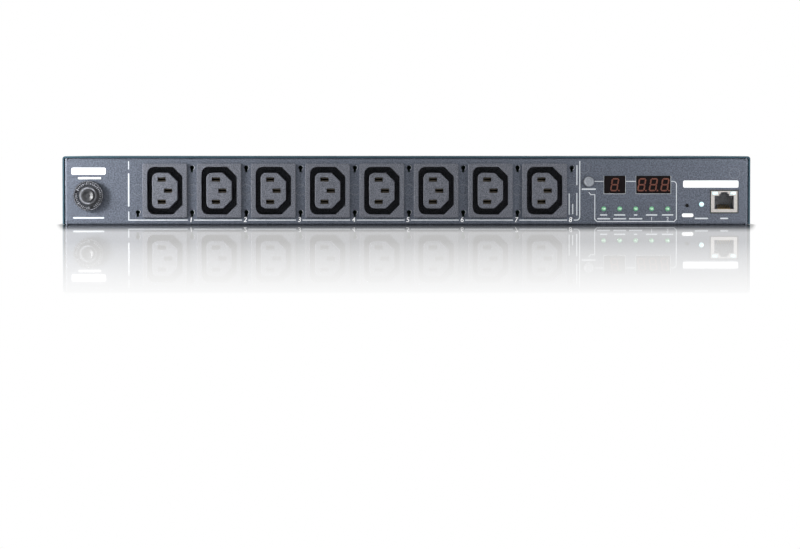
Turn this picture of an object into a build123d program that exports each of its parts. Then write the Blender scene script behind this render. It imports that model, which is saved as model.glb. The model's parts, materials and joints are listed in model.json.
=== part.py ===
from build123d import *
import os
from math import cos, pi, radians, sin, tan

# A rack power distribution unit, one rack unit high. A folded steel tray and a wrap-round cover
# carry eight appliance outlets, a push-to-reset breaker, two numeric displays, status lamps, a
# select button, a pinhole reset switch and a network jack at the front, and the mains inlet, two
# sensor jacks and an earth terminal at the rear. The boards and leads that serve them are inside.
# Frame: +X to the right seen from the front, +Y to the rear, +Z up, in millimetres. The origin is
# the middle of the underside.

# Case
body_width = 432.4
body_height = 43.0
body_depth = 211.0
tray_sheet = 1.2
cover_sheet = 1.0
bend_radius = 1.8
case_slip = 0.15
tray_flange = 11.0
tray_lip = 9.0
bend_relief = 0.4
rear_lip = 7.5

# Outlets
outlet_pitch = 34.1
outlet_first_inset = 64.4
outlet_last_inset = 126.0
outlet_z = 21.35
outlet_flange_width = 28.0
outlet_flange_height = 34.0
outlet_flange_thickness = 1.5
outlet_flange_corner = 0.7
outlet_body_width = 25.2
outlet_body_height = 32.4
outlet_body_depth = 24.0
outlet_edge = 0.35
outlet_cutout_play = 0.2
moat_width = 22.3
moat_height = 30.0
moat_depth = 17.5
moat_chamfer = 6.0
moat_radius = 4.4
core_width = 15.9
core_height = 22.4
core_chamfer = 5.4
core_radius = 3.4
core_setback = 0.4
core_edge = 0.4
pin_pitch = 14.0
pin_offset = 4.0
slot_width = 5.2
slot_height = 2.8
contact_setback = 2.5
contact_width = 4.8
contact_height = 2.4
contact_leaf = 0.6
tab_width = 6.3
tab_thickness = 0.8
tab_length = 8.5
tab_play = 0.1
snap_height = 9.0
snap_depth = 4.0
snap_reach = 0.9
snap_play = 0.1

# Keyholes for cable holders, one low at the left and one high at the right of each outlet
keyhole_radius = 1.45
keyhole_slot = 1.5
keyhole_drop = 2.9
keyhole_low_z = 7.8
keyhole_high_z = 35.8

# Breaker
breaker_inset = 16.4
breaker_z = 18.2
bushing_radius = 5.75
bushing_reach = 6.2
bushing_edge = 0.4
bushing_hole_play = 0.2
ring_nut_radius = 9.6
ring_nut_thickness = 3.0
ring_nut_teeth = 40
ring_nut_tooth = 0.45
ring_nut_groove_inner = 6.7
ring_nut_groove_outer = 8.6
ring_nut_groove = 0.4
thread_play = 0.05
spanner_hole_radius = 0.75
spanner_hole_circle = 7.65
spanner_hole_depth = 2.0
spanner_hole_angles = (161.0, 289.0)
lock_washer_thickness = 0.9
lock_washer_radius = 8.0
lock_washer_bore = 6.1
breaker_width = 15.0
breaker_height = 28.0
breaker_depth = 33.0
breaker_edge = 1.0
breaker_tab_spacing = 12.0
button_radius = 3.85
button_play = 0.08
button_reach = 2.4
button_length = 12.0
button_bore_spare = 1.0
button_dish_depth = 0.9
button_dish_rim = 0.5

# Select button, displays and lamps, placed from the right-hand end of the case
select_inset = 101.5
select_drop = 16.0
select_radius = 3.15
select_play = 0.25
select_reach = 1.7
select_dish = 0.4
select_rim = 0.6
select_collar_radius = 4.3
select_collar_thickness = 0.8
select_collar_gap = 0.15
select_travel = 0.5
display_drop = 17.9
display_height = 10.9
display_proud = 0.3
display_play = 0.15
single_inset = 85.2
single_width = 13.1
triple_inset = 60.9
triple_width = 21.4
digit_pitch = 7.3
digit_height = 8.2
digit_width = 3.9
digit_stroke = 0.85
digit_slant = 9.0
digit_joint = 0.25
digit_play = 0.06
digit_depth = 0.6
point_radius = 0.5
point_gap = 1.25
lamp_count = 5
lamp_first_inset = 92.1
lamp_pitch = 10.05
lamp_z = 9.9
power_lamp_inset = 30.6
power_lamp_z = 12.8
lamp_radius = 1.5
lamp_play = 0.1
lamp_proud = 0.6
lamp_bevel = 0.5
lamp_length = 4.0
lamp_spacer = 3.8

# Reset switch behind its pinhole
reset_inset = 39.7
reset_z = 12.0
pinhole_radius = 1.2
switch_size = 6.0
switch_height = 3.6
plunger_radius = 1.7
plunger_play = 0.08
plunger_seat = 2.2
plunger_reach = 3.2

# Studs welded to the front wall, that carry the upright boards
stud_inset = 9.8
stud_drop = 10.8
left_stud_inset = 104.5
left_stud_drop = 7.4
outlet_stud_z = 21.9
stud_radius = 3.0
stud_grip = 4.4

# Boards and the parts that stand on them
board_thickness = 1.6
board_height = 6.15
display_board_gap = 8.3
display_board_low = 3.0
display_board_drop = 4.0
display_board_side = 4.2
display_board_clear = 1.6
metering_gap = 3.0
metering_margin = 4.2
metering_low = 4.0
metering_drop = 4.5
main_board_width = 100.5
main_board_side_gap = 4.6
main_board_front_gap = 1.4
main_board_rear_gap = 3.0
main_board_tongue_gap = 2.0
processor_size = 24.0
processor_height = 1.6
module_width = 16.0
module_depth = 22.0
module_height = 8.5
module_offset = 26.0
header_width = 6.0
header_depth = 19.0
header_height = 10.0
header_inset = 2.3
supply_x = -62.0
supply_y = 8.0
supply_width = 100.0
supply_depth = 84.0
terminal_width = 18.0
terminal_depth = 11.0
terminal_height = 12.0
terminal_inset_x = 22.0
terminal_inset_y = 12.0
outlet_header_inset = 6.5
standoff_radius = 3.0
standoff_inset = 5.0
transformer_inset = 34.0
transformer_width = 32.0
transformer_depth = 17.0
transformer_height = 26.0
coil_width = 18.0
coil_depth = 27.0
coil_height = 19.0
coil_edge = 3.5
capacitor_inset = 36.0
capacitor_radius = 8.0
capacitor_height = 25.0
capacitor_pitch = 19.0
capacitor_edge = 1.2
sheet_thickness = 0.4
sheet_margin = 6.0
sheet_hole_play = 0.5
sensor_chip_width = 9.0
sensor_chip_height = 9.5
sensor_chip_depth = 7.0
sensor_chip_offset = 11.0
sensor_chip_z = 32.0
earth_bus_width = 2.0
earth_bus_thickness = 1.5
earth_bus_overhang = 6.0

# Network jack
jack_inset = 16.3
jack_width = 16.6
jack_height = 13.4
jack_depth = 15.2
jack_cutout_play = 0.35
jack_wall = 0.35
jack_play = 0.05
jack_setback = 0.2
jack_mouth_width = 12.2
jack_mouth_height = 8.4
jack_mouth_floor = 2.0
jack_mouth_depth = 12.0
jack_step_width = 6.2
jack_step_height = 1.3
jack_notch_width = 4.2
jack_notch_height = 1.0
jack_lamp_width = 3.4
jack_lamp_height = 1.7
jack_lamp_depth = 3.0
jack_lamp_inset = 2.6
jack_lamp_drop = 1.35
jack_contact_count = 8
jack_contact_pitch = 1.02
jack_contact_size = 0.45
jack_contact_rise = 2.4
jack_contact_reach = 9.6

# Sensor jacks
sensor_insets = (64.0, 40.0)
sensor_width = 13.2
sensor_height = 12.6
sensor_depth = 15.0
sensor_proud = 0.8
sensor_cutout_play = 0.2
sensor_mouth_width = 9.8
sensor_mouth_height = 6.9
sensor_mouth_floor = 1.8
sensor_mouth_depth = 12.0
sensor_step_width = 6.2
sensor_step_height = 1.5
sensor_contact_count = 4

# Mains inlet
inlet_inset = 51.0
inlet_z = 21.5
inlet_flange_width = 50.0
inlet_flange_height = 22.6
inlet_flange_thickness = 2.4
inlet_flange_radius = 6.0
inlet_body_width = 28.4
inlet_body_height = 20.4
inlet_body_depth = 20.0
inlet_cutout_play = 0.2
inlet_mouth_width = 24.6
inlet_mouth_height = 16.6
inlet_mouth_depth = 18.0
inlet_mouth_chamfer = 4.8
inlet_mouth_radius = 2.6
inlet_pin_width = 4.0
inlet_pin_thickness = 2.0
inlet_pin_length = 15.5
inlet_pin_edge = 0.5
inlet_screw_pitch = 40.0

# Fasteners
screw_radius = 1.5
screw_play = 0.12
screw_length = 6.0
screw_spare = 0.6
flat_head_radius = 2.5
pan_head_radius = 2.8
pan_head_height = 1.7
nut_radius = 3.1
nut_height = 2.4
side_screw_z = 6.6
side_screw_pitch = 62.0
rear_screw_pitch = 100.0
rear_screw_drop = 4.4
ear_hole_radius = 1.65
ear_shank_radius = 3.1
ear_nut_thickness = 1.5
ear_spacing_y = 20.0
ear_spacing_z = 16.0
ear_z = 23.5
ear_inset = 32.0
ground_inset = 96.0
ground_z = 21.5
ground_screw_radius = 2.0
ground_head_radius = 3.9
ground_head_height = 2.8
ground_washer_radius = 4.8
ground_washer_thickness = 0.8
ground_screw_length = 14.0
ground_nut_radius = 3.9

# Vents in the cover's sides
vent_count = 8
vent_pitch = 6.0
vent_width = 2.6
vent_height = 20.0
vent_z = 26.0

# Leads inside the case
lead_radius = 1.5
lead_chords = 3
socket_width = 7.6
socket_height = 2.8
socket_length = 9.0
lug_radius = 4.0
lug_thickness = 0.8
lug_width = 4.4
lug_length = 9.0
ribbon_thickness = 0.8
ribbon_width = 16.0
ribbon_bend = 3.0
ribbon_rise = 6.0
ribbon_run = 12.0

# Sides of the small or hidden round pieces, drawn as polygons to keep the part light
ring_sides = 24
small_sides = 16
hole_sides = 12
keyhole_sides = 8
hidden_sides = 6
corner_chords = 5

# Places that follow from the sizes above
front = -body_depth / 2
back = body_depth / 2 - cover_sheet - case_slip
inside_front = front + tray_sheet
inside_back = back - tray_sheet
tray_width = body_width - 2 * (cover_sheet + case_slip)
tray_height = body_height - cover_sheet - case_slip
tray_depth = back - front
tray_middle = (front + back) / 2
inside_right = tray_width / 2 - tray_sheet
outlet_room = body_width - outlet_first_inset - outlet_last_inset
outlet_count = 1 + int(outlet_room / outlet_pitch)
outlets = [-body_width / 2 + outlet_first_inset + i * outlet_pitch for i in range(outlet_count)]
outlet_face = front - outlet_flange_thickness
outlet_back = front + outlet_body_depth
tab_end = outlet_back + tab_length
pin_places = [
    (-pin_offset / 2, -pin_pitch / 2),
    (pin_offset / 2, 0),
    (-pin_offset / 2, pin_pitch / 2),
]
breaker_x = -body_width / 2 + breaker_inset
breaker_seat = inside_front + lock_washer_thickness
breaker_back = breaker_seat + breaker_depth
bushing_front = breaker_seat - bushing_reach
select_x = body_width / 2 - select_inset
select_z = body_height - select_drop
display_z = body_height - display_drop
single_x = body_width / 2 - single_inset
triple_x = body_width / 2 - triple_inset
lamps = [body_width / 2 - lamp_first_inset + i * lamp_pitch for i in range(lamp_count)]
power_lamp_x = body_width / 2 - power_lamp_inset
reset_x = body_width / 2 - reset_inset
display_board_y = inside_front + display_board_gap
display_board_back = display_board_y + board_thickness
display_board_high = body_height - display_board_drop
switch_face = display_board_y - switch_height
plunger_tip = switch_face - plunger_reach
metering_y = outlet_back + metering_gap
metering_back = metering_y + board_thickness
metering_high = body_height - metering_drop
board_top = board_height + board_thickness
jack_x = body_width / 2 - jack_inset
jack_z = board_top + jack_height / 2
sensors = [body_width / 2 - inset for inset in sensor_insets]
sensor_face = back + sensor_proud
inlet_x = -body_width / 2 + inlet_inset
inlet_face = back + inlet_flange_thickness
inlet_rear = inlet_face - inlet_body_depth
ground_x = -body_width / 2 + ground_inset
display_studs = [
    (body_width / 2 - left_stud_inset, body_height - left_stud_drop),
    (body_width / 2 - stud_inset, body_height - stud_drop),
]
outlet_stud_steps = [*range(0, outlet_count, 2), outlet_count]
outlet_studs = [
    (outlets[0] + (i - 0.5) * outlet_pitch, outlet_stud_z) for i in outlet_stud_steps
]
main_board_right = inside_right - main_board_side_gap
main_board_left = main_board_right - main_board_width
main_board_front = display_board_back + main_board_front_gap
main_board_back = inside_back - main_board_rear_gap
main_board_x = (main_board_left + main_board_right) / 2
supply_left = supply_x - supply_width / 2
supply_right = supply_x + supply_width / 2
supply_front = supply_y - supply_depth / 2
supply_back = supply_y + supply_depth / 2


def block(x, y, z):
    """A box between the low and high limits given for each axis."""
    sizes = [high - low for low, high in (x, y, z)]
    middles = [(high + low) / 2 for low, high in (x, y, z)]
    return Pos(*middles) * Box(*sizes)


def about(middle, size):
    """The low and high limits of a size centred on a place."""
    return middle - size / 2, middle + size / 2


def to_rear(sketch, y, depth):
    """A sketch drawn in (x, z), extruded from y towards the rear."""
    return extrude(Plane.XZ.offset(-y) * sketch, depth, dir=(0, 1, 0))


def disc(radius, sides=0):
    """A circle, or a polygon with its corners on that circle."""
    return RegularPolygon(radius, sides) if sides else Circle(radius)


def arc_points(x, y, radius, start):
    """Points on a quarter circle from a start angle in degrees, as the ends of short chords."""
    angles = [radians(start + 90 * i / corner_chords) for i in range(corner_chords + 1)]
    return [(x + radius * cos(angle), y + radius * sin(angle)) for angle in angles]


def soft_rectangle(width, height, radius):
    """A rectangle whose corners are rounded by short chords."""
    u, v = width / 2 - radius, height / 2 - radius
    points = arc_points(u, v, radius, 0) + arc_points(-u, v, radius, 90)
    points += arc_points(-u, -v, radius, 180) + arc_points(u, -v, radius, 270)
    return make_face(Polyline(*points, close=True))


def rod(x, z, radius, y, depth, sides=0):
    """A bar along Y, from y towards the rear."""
    return to_rear(Pos(x, z) * disc(radius, sides), y, depth)


def post(x, y, radius, z, height, sides=0):
    """A bar along Z, standing on z."""
    return extrude(Plane.XY.offset(z) * Pos(x, y) * disc(radius, sides), height, dir=(0, 0, 1))


def window(x, z, width, height, play=0):
    """A rectangle in (x, z), grown all round by a clearance."""
    return Pos(x, z) * Rectangle(width + 2 * play, height + 2 * play)


def group(shapes):
    """Separate solids that share one node."""
    return Compound(children=[solid for shape in shapes for solid in shape.solids()])


def outline(width, height, chamfer_size, radius):
    """The outline of the appliance connectors: round at the left, chamfered at the right."""
    corners = [
        (width / 2 - chamfer_size, -height / 2),
        (width / 2, -height / 2 + chamfer_size),
        (width / 2, height / 2 - chamfer_size),
        (width / 2 - chamfer_size, height / 2),
    ]
    corners += arc_points(radius - width / 2, height / 2 - radius, radius, 90)
    corners += arc_points(radius - width / 2, radius - height / 2, radius, 180)
    return make_face(Polyline(*corners, close=True))


def flat_screw():
    """A countersunk screw, its head flush with the XY plane and its shank pointing down."""
    shank = post(0, 0, screw_radius, -screw_length, screw_length - cover_sheet, hidden_sides)
    return countersink(0) + shank


def countersink(play):
    """A flat screw's head, grown all round by a clearance: also the hole that it sits in."""
    top = disc(flat_head_radius + play, hole_sides)
    foot = Plane.XY.offset(-cover_sheet) * disc(screw_radius + play, hole_sides)
    return loft([foot, top])


def pan_screw(radius, head_radius, head_height, length):
    """A pan-head screw with its head on the XY plane and its shank pointing down."""
    head = post(0, 0, head_radius, 0, head_height, hole_sides)
    head = chamfer(head.edges().group_by(Axis.Z)[-1], head_height * 0.3)
    return head + post(0, 0, radius, -length, length, hidden_sides)


def hex_screw(length):
    """A hexagon-head screw with its head on the XY plane and its shank pointing down."""
    head = post(0, 0, pan_head_radius, 0, pan_head_height, hidden_sides)
    return head + post(0, 0, screw_radius, -length, length, hidden_sides)


# Each side screw and rear screw, as the place of its head with +Z pointing out of the case
side_screws = [
    Location((side * body_width / 2, row * side_screw_pitch, side_screw_z), (0, side * 90, 0))
    for side in (-1, 1)
    for row in (-1, 1)
]
rear_screws = [
    Location((row * rear_screw_pitch, body_depth / 2, body_height - rear_screw_drop), (-90, 0, 0))
    for row in (-1, 1)
]

# Each rack-ear hole, as the place of its mouth with +Z pointing out of the case
ear_holes = [
    Location(
        (side * body_width / 2, ear_inset - body_depth / 2 + dy, ear_z + dz),
        (0, side * 90, 0),
    )
    for side in (-1, 1)
    for dy in (-ear_spacing_y / 2, ear_spacing_y / 2)
    for dz in (-ear_spacing_z / 2, ear_spacing_z / 2)
]


def folded_section(width, height):
    """The hollow section that a folded sheet follows, with its bends."""
    outer = soft_rectangle(width, height, bend_radius)
    inner = soft_rectangle(
        width - 2 * tray_sheet, height - 2 * tray_sheet, bend_radius - tray_sheet
    )
    return outer - inner


def tray_shell():
    """Floor, front and rear walls with their lips, side flanges and corner returns."""
    flat_half = tray_width / 2 - bend_radius
    section = folded_section(tray_depth, tray_height)
    section -= Pos(0, tray_height / 2) * Rectangle(tray_depth - 2 * tray_lip, 4 * bend_radius)
    place = Pos(tray_middle, tray_height / 2)
    channel = extrude(Plane.YZ.offset(-flat_half) * (place * section), 2 * flat_half, dir=(1, 0, 0))
    plan = folded_section(tray_width, tray_depth)
    plan -= Rectangle(2 * flat_half, 2 * tray_depth)
    plan -= Rectangle(2 * tray_width, tray_depth - 2 * tray_flange)
    corners = extrude(Pos(0, tray_middle) * plan, tray_height, dir=(0, 0, 1))
    rounded = soft_rectangle(tray_width, tray_height, bend_radius)
    corners &= to_rear(Pos(0, tray_height / 2) * rounded, front, tray_depth)
    edge = folded_section(tray_width, tray_height)
    edge -= Pos(0, tray_flange) * Rectangle(2 * tray_width, tray_height)
    edge -= Rectangle(2 * flat_half, 2 * tray_height)
    start = front + tray_flange + bend_relief
    length = back - tray_flange - bend_relief - start
    flanges = to_rear(Pos(0, tray_height / 2) * edge, start, length)
    slits = [
        block(
            about(side * (flat_half - bend_relief / 2), bend_relief),
            about(y, 2 * bend_radius),
            about(z, 2 * bend_radius),
        )
        for side in (-1, 1)
        for y in (front, back)
        for z in (0, tray_height)
    ]
    return channel + corners + flanges - slits


def keyhole(x, z):
    """One keyhole outline: a round hole with a narrower slot below it."""
    slot = Pos(x, z - keyhole_drop / 2) * Rectangle(keyhole_slot, keyhole_drop)
    return Pos(x, z) * disc(keyhole_radius, keyhole_sides) + slot


def front_cutouts():
    """Every hole through the front wall, as sketches in (x, z)."""
    holes = []
    for x in outlets:
        holes.append(
            window(x, outlet_z, outlet_body_width, outlet_body_height, outlet_cutout_play)
        )
        holes.append(keyhole(x - outlet_pitch / 2, keyhole_low_z))
        holes.append(keyhole(x + outlet_pitch / 2, keyhole_high_z))
    holes.append(Pos(breaker_x, breaker_z) * disc(bushing_radius + bushing_hole_play, ring_sides))
    holes.append(Pos(select_x, select_z) * disc(select_radius + select_play, ring_sides))
    holes.append(window(single_x, display_z, single_width, display_height, display_play))
    holes.append(window(triple_x, display_z, triple_width, display_height, display_play))
    for x, z in [(x, lamp_z) for x in lamps] + [(power_lamp_x, power_lamp_z)]:
        holes.append(Pos(x, z) * disc(lamp_radius + lamp_play, hole_sides))
    holes.append(Pos(reset_x, reset_z) * disc(pinhole_radius, hole_sides))
    holes.append(window(jack_x, jack_z, jack_width, jack_height, jack_cutout_play))
    return holes


def rear_cutouts():
    """Every hole through the rear wall, as sketches in (x, z)."""
    holes = [window(inlet_x, inlet_z, inlet_body_width, inlet_body_height, inlet_cutout_play)]
    for side in (-1, 1):
        x = inlet_x + side * inlet_screw_pitch / 2
        holes.append(Pos(x, inlet_z) * disc(screw_radius + screw_play, hole_sides))
    for x in sensors:
        holes.append(
            window(x, board_top + sensor_height / 2, sensor_width, sensor_height, sensor_cutout_play)
        )
    holes.append(Pos(ground_x, ground_z) * disc(ground_screw_radius + screw_play, hole_sides))
    return holes


def chassis_base():
    """The folded tray with its front and rear cut-outs and the cover's screw holes."""
    cuts = [to_rear(hole, front - tray_sheet / 2, 2 * tray_sheet) for hole in front_cutouts()]
    cuts += [to_rear(hole, inside_back - tray_sheet / 2, 2 * tray_sheet) for hole in rear_cutouts()]
    drill = post(0, 0, screw_radius + screw_play, -screw_length, screw_length, hidden_sides)
    cuts += [place * drill for place in side_screws + rear_screws]
    return tray_shell() - cuts


def top_cover():
    """The wrap-round cover: top, two vented sides and a lip down the rear wall."""
    section = soft_rectangle(body_width, 2 * body_height, bend_radius)
    section -= soft_rectangle(
        body_width - 2 * cover_sheet, 2 * (body_height - cover_sheet), bend_radius - cover_sheet
    )
    section -= Pos(0, case_slip - body_height) * Rectangle(2 * body_width, 2 * body_height)
    cover = to_rear(section, front, body_depth)
    cover -= block(
        about(0, 2 * body_width),
        (body_depth / 2 - bend_radius, body_depth),
        (body_height - rear_lip - bend_relief, 2 * body_height),
    )
    profile = soft_rectangle(2 * body_depth, 2 * body_height, bend_radius)
    profile -= soft_rectangle(
        2 * (body_depth - cover_sheet), 2 * (body_height - cover_sheet), bend_radius - cover_sheet
    )
    corner = Pos(body_depth - bend_radius / 2, body_height - rear_lip / 2)
    profile = profile & corner * Rectangle(bend_radius, rear_lip)
    lip_half = body_width / 2 - bend_radius - bend_relief
    place = Plane.YZ.offset(-lip_half) * Pos(front, 0)
    cover += extrude(place * profile, 2 * lip_half, dir=(1, 0, 0))
    cuts = [place * countersink(screw_play) for place in side_screws + rear_screws]
    shank = post(0, 0, ear_shank_radius + thread_play, -2 * cover_sheet, 4 * cover_sheet, hidden_sides)
    cuts += [place * shank for place in ear_holes]
    for i in range(vent_count):
        y = (i - (vent_count - 1) / 2) * vent_pitch
        vent = block(about(0, 2 * body_width), about(y, vent_width), about(vent_z, vent_height))
        cuts.append(vent)
    return cover - cuts


def ear_nuts():
    """The hexagonal nuts pressed through the cover's sides for the rack ears."""
    start = -cover_sheet - ear_nut_thickness
    nut = post(0, 0, ear_shank_radius, start, -start, hidden_sides)
    nut -= post(0, 0, ear_hole_radius, start, -start)
    return group(place * nut for place in ear_holes)


def panel_studs():
    """Hexagonal studs, tapped from behind, between the front wall and the upright boards."""
    studs = []
    bore = stud_grip + screw_spare
    hole = screw_radius + thread_play
    for places, seat in ((display_studs, display_board_y), (outlet_studs, metering_y)):
        for x, z in places:
            stud = rod(x, z, stud_radius, inside_front, seat - inside_front, hidden_sides)
            studs.append(stud - rod(x, z, hole, seat - bore, bore, hidden_sides))
    return group(studs)


def outlet_snap(side):
    """One wedge-shaped snap on the side of an outlet, just behind the panel."""
    inner = side * (outlet_body_width / 2 - snap_reach)
    outer = side * (outlet_body_width / 2 + snap_reach)
    start = inside_front + snap_play
    end = start + snap_depth
    corners = [(inner, start), (outer, start), (side * outlet_body_width / 2, end), (inner, end)]
    return extrude(make_face(Polyline(*corners, close=True)), snap_height / 2, both=True)


def outlet_housing():
    """One moulded outlet: flange, snap-in body, moat, shaped core and contact chambers."""
    plate = Rectangle(outlet_flange_width, outlet_flange_height)
    plate = chamfer(plate.vertices(), outlet_flange_corner)
    flange = to_rear(plate, outlet_face, outlet_flange_thickness)
    flange = chamfer(flange.faces().sort_by(Axis.Y)[0].edges(), outlet_edge)
    body = to_rear(Rectangle(outlet_body_width, outlet_body_height), front, outlet_body_depth)
    body = flange + body + [outlet_snap(-1), outlet_snap(1)]
    body -= to_rear(
        outline(moat_width, moat_height, moat_chamfer, moat_radius), outlet_face, moat_depth
    )
    core_face = outlet_face + core_setback
    core = to_rear(
        outline(core_width, core_height, core_chamfer, core_radius),
        core_face,
        moat_depth - core_setback,
    )
    body += chamfer(core.faces().sort_by(Axis.Y)[0].edges(), core_edge)
    length = outlet_back - core_face
    cuts = [to_rear(window(x, z, slot_width, slot_height), core_face, length) for x, z in pin_places]
    return Pos(0, 0, outlet_z) * (body - cuts)


def outlet_contacts():
    """The three folded contacts of one outlet, each with its tab out of the open back."""
    tip = outlet_face + core_setback + contact_setback
    fold = (tip + outlet_back) / 2
    side = Pos(fold, 0) * Rectangle(outlet_back - tip, contact_height)
    side -= Pos(fold - contact_leaf, 0) * Rectangle(outlet_back - tip, contact_height - 2 * contact_leaf)
    side += Pos(outlet_back + tab_length / 2, 0) * Rectangle(tab_length, tab_thickness)
    contact = extrude(Plane.YZ * side, contact_width / 2, both=True)
    return [Pos(x, 0, outlet_z + z) * contact for x, z in pin_places]


def breaker_body():
    """The breaker's moulded case with its threaded bushing and the button's bore."""
    case = block(
        about(breaker_x, breaker_width),
        (breaker_seat, breaker_back),
        about(breaker_z, breaker_height),
    )
    case = chamfer(case.edges().filter_by(Axis.Y), breaker_edge)
    bushing = rod(breaker_x, breaker_z, bushing_radius, bushing_front, bushing_reach, ring_sides)
    bushing = chamfer(bushing.edges().group_by(Axis.Y)[0], bushing_edge)
    bore = button_length - button_reach + button_bore_spare
    hole = rod(breaker_x, breaker_z, button_radius + button_play, bushing_front, bore, ring_sides)
    return case + bushing - hole


def ring_nut_outline():
    """The toothed rim of the ring nut."""
    points = []
    for i in range(2 * ring_nut_teeth):
        angle = i * pi / ring_nut_teeth
        radius = ring_nut_radius - ring_nut_tooth * (i % 2)
        points.append((radius * cos(angle), radius * sin(angle)))
    return make_face(Polyline(*points, close=True))


def breaker_nut():
    """The knurled ring nut in front of the panel, with its face groove and spanner holes."""
    face = front - ring_nut_thickness
    nut = to_rear(ring_nut_outline(), face, ring_nut_thickness)
    groove = disc(ring_nut_groove_outer, ring_sides) - disc(ring_nut_groove_inner, ring_sides)
    cuts = [
        rod(0, 0, bushing_radius + thread_play, face, ring_nut_thickness, ring_sides),
        to_rear(groove, face, ring_nut_groove),
    ]
    for angle in spanner_hole_angles:
        x = spanner_hole_circle * cos(radians(angle))
        z = spanner_hole_circle * sin(radians(angle))
        cuts.append(rod(x, z, spanner_hole_radius, face, spanner_hole_depth, keyhole_sides))
    return Pos(breaker_x, 0, breaker_z) * (nut - cuts)


def breaker_washer():
    """The lock washer between the breaker's case and the panel."""
    washer = disc(lock_washer_radius, hole_sides) - disc(lock_washer_bore, hole_sides)
    return to_rear(Pos(breaker_x, breaker_z) * washer, inside_front, lock_washer_thickness)


def breaker_terminals():
    """The two spade terminals at the rear of the breaker."""
    return group(
        block(
            about(breaker_x, tab_width),
            (breaker_back, breaker_back + tab_length),
            about(breaker_z + side * breaker_tab_spacing / 2, tab_thickness),
        )
        for side in (-1, 1)
    )


def dished_button(x, z, radius, face, length, dish, rim):
    """A round button with a shallow tapered dish in its face."""
    button = rod(x, z, radius, face, length, ring_sides)
    button = chamfer(button.edges().group_by(Axis.Y)[0], rim * 0.4)
    mouth = Plane.XZ.offset(-face) * Pos(x, z) * disc(radius - rim, ring_sides)
    foot = Plane.XZ.offset(-face - dish) * Pos(x, z) * disc(radius - rim - 2 * dish, ring_sides)
    return button - loft([foot, mouth])


def breaker_button():
    """The reset button, drawn in its set position."""
    face = bushing_front - button_reach
    return dished_button(
        breaker_x, breaker_z, button_radius, face, button_length, button_dish_depth, button_dish_rim
    )


def select_button():
    """The select button with its retaining collar, down to the plunger of its switch."""
    face = front - select_reach
    collar = inside_front + select_collar_gap
    button = dished_button(
        select_x, select_z, select_radius, face, plunger_tip - face, select_dish, select_rim
    )
    thickness = select_collar_thickness
    return button + rod(select_x, select_z, select_collar_radius, collar, thickness, hole_sides)


def switch_plunger(x, z):
    """The moving plunger of a tact switch, seated in its body."""
    return rod(x, z, plunger_radius, plunger_tip, plunger_reach + plunger_seat, small_sides)


def button_switches():
    """The two tact switch bodies on the display board."""
    bore = plunger_seat + select_travel + plunger_play
    return group(
        to_rear(window(x, z, switch_size, switch_size), switch_face, switch_height)
        - rod(x, z, plunger_radius + plunger_play, switch_face, bore, small_sides)
        for x, z in ((select_x, select_z), (reset_x, reset_z))
    )


def segment_bar(x, z, length, upright, grow):
    """One pointed segment of a digit, grown by a clearance and leaned over by the slant."""
    half = length / 2 + grow
    thick = digit_stroke / 2 + grow
    shoulder = half - thick
    points = [
        (-half, 0),
        (-shoulder, thick),
        (shoulder, thick),
        (half, 0),
        (shoulder, -thick),
        (-shoulder, -thick),
    ]
    if upright:
        points = [(v, u) for u, v in points]
    lean = tan(radians(digit_slant))
    leaned = [(x + u + (z + v) * lean, z + v) for u, v in points]
    return make_face(Polyline(*leaned, close=True))


def digit(grow):
    """The seven segments and the point of one digit, centred on the origin."""
    rise = (digit_height - digit_stroke) / 2
    across = digit_width - digit_joint
    up = rise - digit_joint
    shapes = [segment_bar(0, z, across, False, grow) for z in (-rise, 0, rise)]
    for x in (-digit_width / 2, digit_width / 2):
        for z in (-rise / 2, rise / 2):
            shapes.append(segment_bar(x, z, up, True, grow))
    point = digit_width / 2 + point_gap - rise * tan(radians(digit_slant))
    shapes.append(Pos(point, -rise) * disc(point_radius + grow, hidden_sides))
    return shapes


def digit_prisms(x, count, grow):
    """Every segment of one display's digits, as prisms behind the display's face."""
    face = front - display_proud
    places = [x + (i - (count - 1) / 2) * digit_pitch for i in range(count)]
    return [
        to_rear(Pos(place, display_z) * shape, face, digit_depth)
        for place in places
        for shape in digit(grow)
    ]


def display_housing(x, width, count):
    """One display's moulding, with a pocket for each segment."""
    face = front - display_proud
    housing = to_rear(window(x, display_z, width, display_height), face, display_board_y - face)
    return housing - digit_prisms(x, count, digit_play)


def lamp(x, z):
    """One round lamp with a bevelled end, on the square spacer that holds it off the board."""
    start = front - lamp_proud
    body = rod(x, z, lamp_radius, start, lamp_length, hole_sides)
    body = chamfer(body.edges().group_by(Axis.Y)[0], lamp_bevel)
    foot = start + lamp_length
    return body + block(about(x, lamp_spacer), (foot, display_board_y), about(z, lamp_spacer))


def screw_hole(x, z, y):
    """The clearance hole through an upright board."""
    return rod(x, z, screw_radius + screw_play, y, board_thickness, hidden_sides)


def display_board():
    """The upright board behind the displays, cut away round the network jack."""
    left = display_studs[0][0] - display_board_side
    right = display_studs[1][0] + display_board_side
    board = block(
        (left, right), (display_board_y, display_board_back), (display_board_low, display_board_high)
    )
    notch = block(
        (jack_x - jack_width / 2 - display_board_clear, right + board_thickness),
        about(display_board_y, 4 * board_thickness),
        (0, jack_z + jack_height / 2 + display_board_clear),
    )
    return board - [notch] - [screw_hole(x, z, display_board_y) for x, z in display_studs]


def metering_board():
    """The upright board that the outlets' tabs are soldered into."""
    left, right = outlet_studs[0][0] - metering_margin, outlet_studs[-1][0] + metering_margin
    board = block((left, right), (metering_y, metering_back), (metering_low, metering_high))
    cuts = [screw_hole(x, z, metering_y) for x, z in outlet_studs]
    for outlet_x in outlets:
        for x, z in pin_places:
            slit = window(outlet_x + x, outlet_z + z, contact_width, tab_thickness, tab_play)
            cuts.append(to_rear(slit, metering_y, board_thickness))
    return board - cuts


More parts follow.
